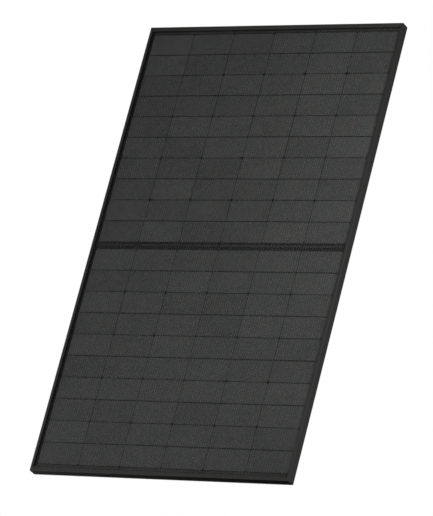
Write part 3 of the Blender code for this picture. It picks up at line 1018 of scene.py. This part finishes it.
@dataclass
class WireRepeater(Repeater):
    """Sweeps one wire's path into a round wire and repeats it across a column."""

    name: str = "wires_of_a_string"

    def build(self) -> None:
        """Build the tree."""
        graph, inside = self.start(
            {
                "Wires": ("NodeSocketInt", 18),
                "First": ("NodeSocketVector", (0.0, 0.0, 0.0)),
                "Step": ("NodeSocketVector", (0.0, 0.0, 0.0)),
                "Radius": ("NodeSocketFloat", 0.0001),
                "Sides": ("NodeSocketInt", 5),
            }
        )
        path = graph.add("GeometryNodeMeshToCurve")
        graph.feed(path.inputs["Mesh"], inside.outputs["Geometry"])
        section = graph.add("GeometryNodeCurvePrimitiveCircle", mode="RADIUS")
        graph.feed(section.inputs["Resolution"], inside.outputs["Sides"])
        graph.feed(section.inputs["Radius"], inside.outputs["Radius"])
        wire = graph.add("GeometryNodeCurveToMesh")
        graph.feed(wire.inputs["Curve"], path.outputs[0])
        graph.feed(wire.inputs["Profile Curve"], section.outputs[0])
        wire.inputs["Fill Caps"].default_value = True
        line = graph.add("GeometryNodeMeshLine", mode="OFFSET")
        graph.feed(line.inputs["Count"], inside.outputs["Wires"])
        graph.feed(line.inputs["Start Location"], inside.outputs["First"])
        graph.feed(line.inputs["Offset"], inside.outputs["Step"])
        laid = graph.add("GeometryNodeInstanceOnPoints")
        graph.feed(laid.inputs["Points"], line.outputs[0])
        graph.feed(laid.inputs["Instance"], wire.outputs[0])
        self.end(graph, inside, laid.outputs[0])


# Sub-assemblies


@dataclass
class FrameBars:
    """Four mitred bars, the keys in their corners and the sealant in their channel.

    Attributes:
        edge: Rounding of the extruded edges.
    """

    edge: Softening = Softening(0.00025)

    def build(self, parts: Parts) -> None:
        """Build the bars and dress the keys and the sealant.

        Args:
            parts: Keeps the finished pieces.
        """
        runs = {"left": Run.UPRIGHT, "right": Run.UPRIGHT, "top": Run.CROSSWISE, "bottom": Run.CROSSWISE}
        for side, run in runs.items():
            node = f"frame_{side}"
            bar = self.edge.copy(node, f"anodised_bar_{side}", anodised(run))
            parts.fit(bar, Body.PANEL, [node])
        for upright in ("bottom", "top"):
            for side in ("left", "right"):
                parts.keep(f"corner_key_{upright}_{side}", CUT_ALUMINIUM)
        parts.keep("edge_sealant", SEALANT)


@dataclass
class LaminateSheets:
    """Glass, encapsulant films, backsheet and the blank label behind it."""

    def build(self, parts: Parts) -> None:
        """Dress the sheets.

        Args:
            parts: Keeps the finished pieces.
        """
        parts.keep("front_glass", GLASS)
        parts.keep("front_encapsulant", ENCAPSULANT)
        parts.keep("rear_encapsulant", ENCAPSULANT)
        parts.keep("backsheet", BACKSHEET)
        parts.keep("rating_label", LABEL)


@dataclass
class CellArray:
    """Twelve strings of half cells with the fine wires that join them.

    Attributes:
        columns: Number of strings side by side.
        cells: Whole cells in a string.
        cell_width: Width of a cell.
        half_height: Height of a half cell.
        cut_gap: Gap between the two halves of a cell.
        cell_gap: Gap between whole cells.
        chamfer: Leg of the cut corners.
        thickness: Thickness of a cell.
        edge: Chamfer of the cell's edges.
        rim_steps: Width of the bare rim, and of its fade into the coating.
        wires: Wires across a cell.
        wire_radius: Radius of a wire.
        wire_lift: Distance of a wire's axis from the face of the cell.
        wire_tuck: How far a wire runs behind the next cell.
        wire_dip: How far before a gap a wire starts to bend.
        ribbon_dip: How far before the first cell the middle ribbon's wire starts to bend.
        wire_sides: Sides of a wire's section.
        end_foil: Length of the foil between the last cell and the end ribbon.
        ribbon_inset: How far from a ribbon's far edge a wire ends.
    """

    columns: int = 6
    cells: int = 5
    cell_width: float = 0.1674
    half_height: float = 0.0826
    cut_gap: float = 0.0018
    cell_gap: float = 0.0010
    chamfer: float = 0.0060
    thickness: float = 0.0002
    edge: float = 0.00004
    # rim_steps: Width of the dark rim of painted shade, and of its fade into the coating.
    rim_steps: Range = (0.0006, 0.0003)
    wires: int = 18
    wire_radius: float = 0.00011
    wire_lift: float = 0.00013
    wire_tuck: float = 0.0060
    wire_dip: float = 0.0005
    ribbon_dip: float = 0.0015
    wire_sides: int = 5
    end_foil: float = 0.0028
    ribbon_inset: float = 0.0010

    def build(self, parts: Parts) -> None:
        """Build every string.

        Args:
            parts: Keeps the finished pieces.
        """
        cell_tree = HalfCellRepeater()
        cell_tree.build()
        wire_tree = WireRepeater()
        wire_tree.build()
        for half in Half:
            for column in range(1, self.columns + 1):
                node = f"cell_string_{half.name.lower()}_{column}"
                label = f"{half.name.lower()}_{column}"
                parts.fit(
                    self.lay_cells(cell_tree, node, f"half_cells_{label}", half, column),
                    Body.PANEL, [node],
                )
                parts.fit(
                    self.lay_wires(wire_tree, node, f"cell_wires_{label}", half),
                    Body.PANEL,
                )

    @property
    def pitch(self) -> float:
        """Distance from one whole cell to the next."""
        return 2.0 * self.half_height + self.cut_gap + self.cell_gap

    def corners(self, node: str, half: Half) -> tuple[float, float, float]:
        """Places that a string is laid from.

        Args:
            node: The string's CAD node.
            half: Its half of the array.

        Returns:
            The column's middle along X, the face of the cells along Y, and the edge of
            the first half cell along Z.
        """
        low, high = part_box(node)
        return (low.x + high.x) / 2.0, low.y, self.middle_edge(half)

    def end_ribbon(self, half: Half) -> tuple[Vector, Vector]:
        """Lower and upper corner of the ribbon at the far end of a half."""
        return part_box("top_ribbon_1" if half is Half.UPPER else "bottom_ribbon_1")

    def middle_edge(self, half: Half) -> float:
        """Z of the first half cell's edge at the middle gap.

        Args:
            half: Half of the array.

        Returns:
            The edge's Z, worked back from the end ribbon.
        """
        low, high = self.end_ribbon(half)
        near = low.z if half is Half.UPPER else high.z
        length = self.cells * self.pitch - self.cell_gap
        return near - half.value * (self.end_foil + length)

    def plate(self, name: str) -> bpy.types.Mesh:
        """One half cell, with its face at Y 0 and its cut corners at the bottom.

        Args:
            name: Name of the mesh.

        Returns:
            The mesh, a closed plate with chamfered edges.
        """
        half = self.cell_width / 2.0
        outline = [
            (-half + self.chamfer, 0.0), (half - self.chamfer, 0.0), (half, self.chamfer),
            (half, self.half_height), (-half, self.half_height), (-half, self.chamfer),
        ]
        plate = bmesh.new()
        base = plate.faces.new([plate.verts.new((x, 0.0, z)) for x, z in outline])
        raised = bmesh.ops.extrude_face_region(plate, geom=[base])
        moved = [item for item in raised["geom"] if isinstance(item, bmesh.types.BMVert)]
        bmesh.ops.translate(plate, verts=moved, vec=(0.0, self.thickness, 0.0))
        rims = [edge for edge in plate.edges if abs(edge.verts[0].co.y - edge.verts[1].co.y) < self.edge]
        bmesh.ops.bevel(plate, geom=rims, offset=self.edge, segments=1, affect="EDGES")
        bmesh.ops.recalc_face_normals(plate, faces=plate.faces)
        self.mark_rim(plate)
        mesh = bpy.data.meshes.new(name)
        plate.to_mesh(mesh)
        plate.free()
        return mesh

    def mark_rim(self, plate: bmesh.types.BMesh) -> None:
        """Store which points of a half cell lie in its dark rim of painted shade, 1 in the rim and 0
        within.

        Args:
            plate: The half cell.
        """
        rim = plate.verts.layers.float.new(CELL_RIM)
        front = max(plate.faces, key=lambda face: -face.normal.y * face.calc_area())
        for width in self.rim_steps:
            bmesh.ops.inset_region(plate, faces=[front], thickness=width, use_even_offset=True)
        for vert in plate.verts:
            vert[rim] = 1.0
        for vert in front.verts:
            vert[rim] = 0.0

    def lay_cells(
        self, tree: HalfCellRepeater, node: str, name: str, half: Half, column: int
    ) -> bpy.types.Object:
        """Lay the half cells of one string.

        Args:
            tree: The tree that lays them.
            node: The string's CAD node.
            name: Name of the new piece.
            half: Its half of the array.
            column: Its column.

        Returns:
            The piece.
        """
        middle, face, start = self.corners(node, half)
        whole = 2.0 * self.half_height + self.cut_gap
        upper = half is Half.UPPER
        return tree.run(
            new_object(name, self.plate(name)),
            SILICON,
            Cells=self.cells,
            First=(middle, face, start),
            Second=(middle, face, start + half.value * whole),
            Step=(0.0, 0.0, half.value * self.pitch),
            First_Turn=0.0 if upper else math.pi,
            Second_Turn=math.pi if upper else 0.0,
            Seed=column + (self.columns if upper else 0),
        )

    def wire_path(self, half: Half, start: float, ribbon: float, end_ribbon: float) -> list[list[Range]]:
        """Paths of one wire along a whole string, as depth behind the cell's face and Z.

        Args:
            half: Half of the array.
            start: Z of the first half cell's edge.
            ribbon: Z of the far edge of the middle ribbon, where the first wire starts.
            end_ribbon: Z of the far edge of the end ribbon, where the last wire ends.

        Returns:
            A list of open paths.
        """
        away = half.value
        front = -self.wire_lift
        rear = self.thickness + self.wire_lift
        tuck = away * self.wire_tuck
        bend = start - away * self.ribbon_dip
        paths = [[(front, ribbon), (front, bend), (rear, start), (rear, start + tuck)]]
        edge = start
        for index in range(2 * self.cells):
            last = index == 2 * self.cells - 1
            far = edge + away * self.half_height
            path = [(front, edge + away * self.wire_dip), (front, far - away * self.wire_dip)]
            if last:
                path.append((front, end_ribbon))
            else:
                gap = self.cut_gap if index % 2 == 0 else self.cell_gap
                edge = far + away * gap
                path += [(rear, edge), (rear, edge + tuck)]
            paths.append(path)
        return paths

    def lay_wires(self, tree: WireRepeater, node: str, name: str, half: Half) -> bpy.types.Object:
        """Lay the wires of one string.

        Args:
            tree: The tree that lays them.
            node: The string's CAD node.
            name: Name of the new piece.
            half: Its half of the array.

        Returns:
            The piece.
        """
        middle, face, start = self.corners(node, half)
        ribbon_low, ribbon_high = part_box("middle_ribbon_2")
        end_low, end_high = self.end_ribbon(half)
        if half is Half.UPPER:
            ribbon, end_ribbon = ribbon_low.z + self.ribbon_inset, end_high.z - self.ribbon_inset
        else:
            ribbon, end_ribbon = ribbon_high.z - self.ribbon_inset, end_low.z + self.ribbon_inset
        paths = bmesh.new()
        for path in self.wire_path(half, start, ribbon, end_ribbon):
            verts = [paths.verts.new((0.0, face + depth, z)) for depth, z in path]
            for first, second in zip(verts, verts[1:]):
                paths.edges.new((first, second))
        mesh = bpy.data.meshes.new(name)
        paths.to_mesh(mesh)
        paths.free()
        spacing = self.pitch / self.wires
        return tree.run(
            new_object(name, mesh),
            TINNED_WIRE,
            Wires=self.wires,
            First=(middle - spacing * (self.wires - 1) / 2.0, 0.0, 0.0),
            Step=(spacing, 0.0, 0.0),
            Radius=self.wire_radius,
            Sides=self.wire_sides,
        )


@dataclass
class Ribbons:
    """Flat ribbons in the middle gap and at both ends of the strings."""

    def build(self, parts: Parts) -> None:
        """Dress every ribbon.

        Args:
            parts: Keeps the finished pieces.
        """
        for number in range(1, 5):
            parts.keep(f"middle_ribbon_{number}", RIBBON)
        for number in range(1, 4):
            parts.keep(f"top_ribbon_{number}", RIBBON)
            parts.keep(f"bottom_ribbon_{number}", RIBBON)


@dataclass
class JunctionBox:
    """One junction box with its lid, seal, terminals and diode.

    Attributes:
        place: Place of the box, as the CAD nodes name it.
        body: Body of its lid.
        gland: Whether it has a cable gland.
        edge: Rounding of the moulded edges.
        nut_edge: Rounding of the gland's edges.
    """

    place: str
    body: Body
    gland: bool
    edge: Softening = Softening(0.0004)
    nut_edge: Softening = Softening(0.0002)

    def build(self, parts: Parts) -> None:
        """Build the moulded pieces and dress the others.

        Args:
            parts: Keeps the finished pieces.
        """
        place = self.place
        base = self.edge.copy(f"box_base_{place}", f"moulded_base_{place}", PLASTIC)
        parts.fit(base, Body.PANEL, [f"box_base_{place}"])
        lid = self.edge.copy(f"box_lid_{place}", f"moulded_lid_{place}", PLASTIC)
        parts.fit(lid, self.body, [f"box_lid_{place}"])
        if self.gland:
            nut = self.nut_edge.copy(f"cable_gland_{place}", f"gland_nut_{place}", PLASTIC)
            parts.fit(nut, Body.PANEL, [f"cable_gland_{place}"])
        parts.keep(f"box_adhesive_{place}", SEALANT)
        parts.keep(f"lid_seal_{place}", RUBBER)
        parts.keep(f"bypass_diode_{place}", RESIN)
        parts.keep(f"terminal_{place}_left", SOLDERED)
        parts.keep(f"terminal_{place}_right", SOLDERED)


# Studio


@dataclass(frozen=True)
class Softbox:
    """A rectangular lamp that points at a place on the panel.

    Attributes:
        name: Name of the lamp.
        place: Where it stands.
        target: Where it points.
        size: Width and height.
        power: Power in watts.
    """

    name: str
    place: Point
    target: Point
    size: Range
    power: float

    def build(self) -> None:
        """Make the lamp."""
        lamp = bpy.data.lights.new(self.name, "AREA")
        lamp.shape = "RECTANGLE"
        lamp.size, lamp.size_y = self.size
        lamp.energy = self.power
        stand = bpy.data.objects.new(self.name, lamp)
        stand.location = self.place
        aim = Vector(self.target) - Vector(self.place)
        stand.rotation_euler = aim.to_track_quat("-Z", "Y").to_euler()
        stand.visible_camera = False
        stand.visible_transmission = False
        bpy.context.scene.collection.objects.link(stand)


@dataclass
class Studio:
    """Camera, floor, white surroundings and soft lamps.

    Attributes:
        azimuth: Angle of the camera round the panel, in degrees from -Y towards +X.
        elevation: Angle of the camera above the level, in degrees.
        roll: Turn of the camera about its own axis, in degrees.
        distance: Distance from the camera to its aim.
        aim: Point on the panel that the camera looks at.
        lens: Focal length in millimetres.
        sensor: Width of the camera's sensor in millimetres.
        clip: Nearest and furthest distance that the camera sees.
        floor_radius: Radius of the floor.
        floor_drop: Gap between the panel's foot and the floor.
        floor_fade: Shares of the radius at which the floor starts to fade and is gone.
        floor_colours: Darker and lighter colour of the floor.
        floor_scales: Coarse and fine size of the floor's grain, in lumps a metre.
        floor_roughness: Roughness of the floor.
        surround: Strength of the surroundings in matt surfaces.
        mirrored: Strength of the surroundings in gloss.
        sure_bounces: Bounces that every light path is sure of, for the dark cells behind glass.
        film_bounces: Most clear surfaces in a path, enough to reach the backsheet and come back.
        lamps: The soft lamps.
    """

    azimuth: float = 33.3305
    elevation: float = -22.3418
    roll: float = 14.7199
    distance: float = 15.5524
    aim: Point = (0.0100, -0.0175, -0.0487)
    lens: float = 309.846
    sensor: float = 36.0
    clip: Range = (0.1, 200.0)
    floor_radius: float = 30.0
    floor_drop: float = 0.0010
    floor_fade: Range = (0.12, 0.9)
    floor_colours: tuple[Colour, Colour] = ((0.80, 0.80, 0.80), (0.84, 0.84, 0.84))
    floor_scales: Range = (1.5, 80.0)
    floor_roughness: float = 0.8
    surround: float = 0.60
    mirrored: float = 0.10
    sure_bounces: int = 8
    film_bounces: int = 24
    lamps: tuple[Softbox, ...] = (
        Softbox("left_softbox", (-2.7, -4.0, 0.25), (0.0, 0.0, 0.25), (2.4, 0.7), 9.0),
        Softbox("right_softbox", (1.5, -0.92, 0.30), (0.3, 0.0, 0.25), (0.8, 0.8), 12.0),
        Softbox("foot_softbox", (-1.5, -0.10, -1.7), (-0.3, 0.0, -0.88), (0.6, 0.6), 12.0),
        Softbox("rear_softbox", (-1.2, 3.0, 1.2), (0.0, 0.0, 0.0), (1.6, 1.0), 60.0),
    )

    def make_camera(self) -> None:
        """Make the camera and use it for the scene."""
        turn, rise = math.radians(self.azimuth), math.radians(self.elevation)
        level = math.cos(rise)
        back = Vector((math.sin(turn) * level, -math.cos(turn) * level, math.sin(rise)))
        lens = bpy.data.cameras.new("camera")
        lens.lens = self.lens
        lens.sensor_width = self.sensor
        lens.clip_start, lens.clip_end = self.clip
        camera = bpy.data.objects.new("camera", lens)
        camera.location = Vector(self.aim) + self.distance * back
        facing = (-back).to_track_quat("-Z", "Y").to_matrix()
        rolled = facing @ Matrix.Rotation(math.radians(self.roll), 3, "Z")
        camera.rotation_euler = rolled.to_euler()
        bpy.context.scene.collection.objects.link(camera)
        bpy.context.scene.camera = camera

    def make_world(self) -> None:
        """White to the camera, and dimmer where it lights the panel or is mirrored in it."""
        world = bpy.data.worlds.new("surroundings")
        world.use_nodes = True
        graph = Graph(world.node_tree)
        world.node_tree.nodes.clear()
        path = graph.add("ShaderNodeLightPath")
        passed = graph.math("MINIMUM", path.outputs["Transmission Depth"], 1.0)
        scattered = graph.math("MINIMUM", path.outputs["Diffuse Depth"], 1.0)
        gloss = graph.spread(passed, 0.0, 1.0, self.mirrored, 0.0)
        matt = graph.math("MULTIPLY", scattered, self.surround)
        dimmed = graph.math("MAXIMUM", gloss, matt)
        strength = graph.spread(path.outputs["Is Camera Ray"], 0.0, 1.0, dimmed, 1.0)
        light = graph.add("ShaderNodeBackground")
        light.inputs["Color"].default_value = (1.0, 1.0, 1.0, 1.0)
        graph.feed(light.inputs["Strength"], strength)
        output = graph.add("ShaderNodeOutputWorld")
        graph.feed(output.inputs["Surface"], light.outputs[0])
        world.cycles.sampling_method = "NONE"
        bpy.context.scene.world = world

    def make_floor(self) -> None:
        """Round pale floor that fades out at its rim and isn't seen from below."""
        disc = bmesh.new()
        bmesh.ops.create_circle(disc, cap_ends=True, segments=96, radius=self.floor_radius)
        low, _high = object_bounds()
        bmesh.ops.translate(disc, verts=disc.verts, vec=(0.0, 0.0, low.z - self.floor_drop))
        mesh = bpy.data.meshes.new("floor")
        disc.to_mesh(mesh)
        disc.free()
        material = bpy.data.materials.new("pale_floor")
        material.use_nodes = True
        graph = Graph(material.node_tree)
        shader = material.node_tree.nodes["Principled BSDF"]
        coarse, fine = self.floor_scales
        grain = GRAIN.put(graph, Vector=graph.place(), Cloud_Scale=coarse, Grain_Scale=fine)
        graph.feed(shader.inputs["Base Color"], graph.blend(grain.outputs["Tone"], *self.floor_colours))
        shader.inputs["Roughness"].default_value = self.floor_roughness
        radius = graph.add("ShaderNodeVectorMath", operation="LENGTH")
        graph.feed(radius.inputs[0], graph.place(shift=(0.0, 0.0, -low.z)))
        start, end = (share * self.floor_radius for share in self.floor_fade)
        faded = graph.spread(radius.outputs["Value"], start, end)
        hidden = graph.math("MAXIMUM", faded, graph.add("ShaderNodeNewGeometry").outputs["Backfacing"])
        hidden = graph.math("MAXIMUM", hidden, graph.add("ShaderNodeLightPath").outputs["Is Shadow Ray"])
        graph.let_through(hidden, shader)
        mesh.materials.append(material)
        new_object("floor", mesh)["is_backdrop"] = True

    def build(self) -> None:
        """Make everything but the camera, which comes first."""
        self.make_world()
        self.make_floor()
        for lamp in self.lamps:
            lamp.build()
        view = bpy.context.scene.view_settings
        view.view_transform = "Standard"
        view.look = "None"
        paths = bpy.context.scene.cycles
        paths.min_light_bounces = self.sure_bounces
        paths.min_transparent_bounces = self.sure_bounces
        paths.transparent_max_bounces = self.film_bounces


def main() -> None:
    """Build the camera, the panel's sub-assemblies and the studio in order."""
    logging.basicConfig(level=logging.INFO, format="%(name)s %(message)s")
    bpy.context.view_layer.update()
    studio = Studio()
    studio.make_camera()
    parts = Parts()
    FrameBars().build(parts)
    LaminateSheets().build(parts)
    CellArray().build(parts)
    Ribbons().build(parts)
    for place, body, gland in (
        ("left", Body.LID_LEFT, True),
        ("middle", Body.LID_MIDDLE, False),
        ("right", Body.LID_RIGHT, True),
    ):
        JunctionBox(place, body, gland).build(parts)
    studio.build()
    log.info("%d pieces", len(parts.made))


if __name__ == "__main__":
    main()
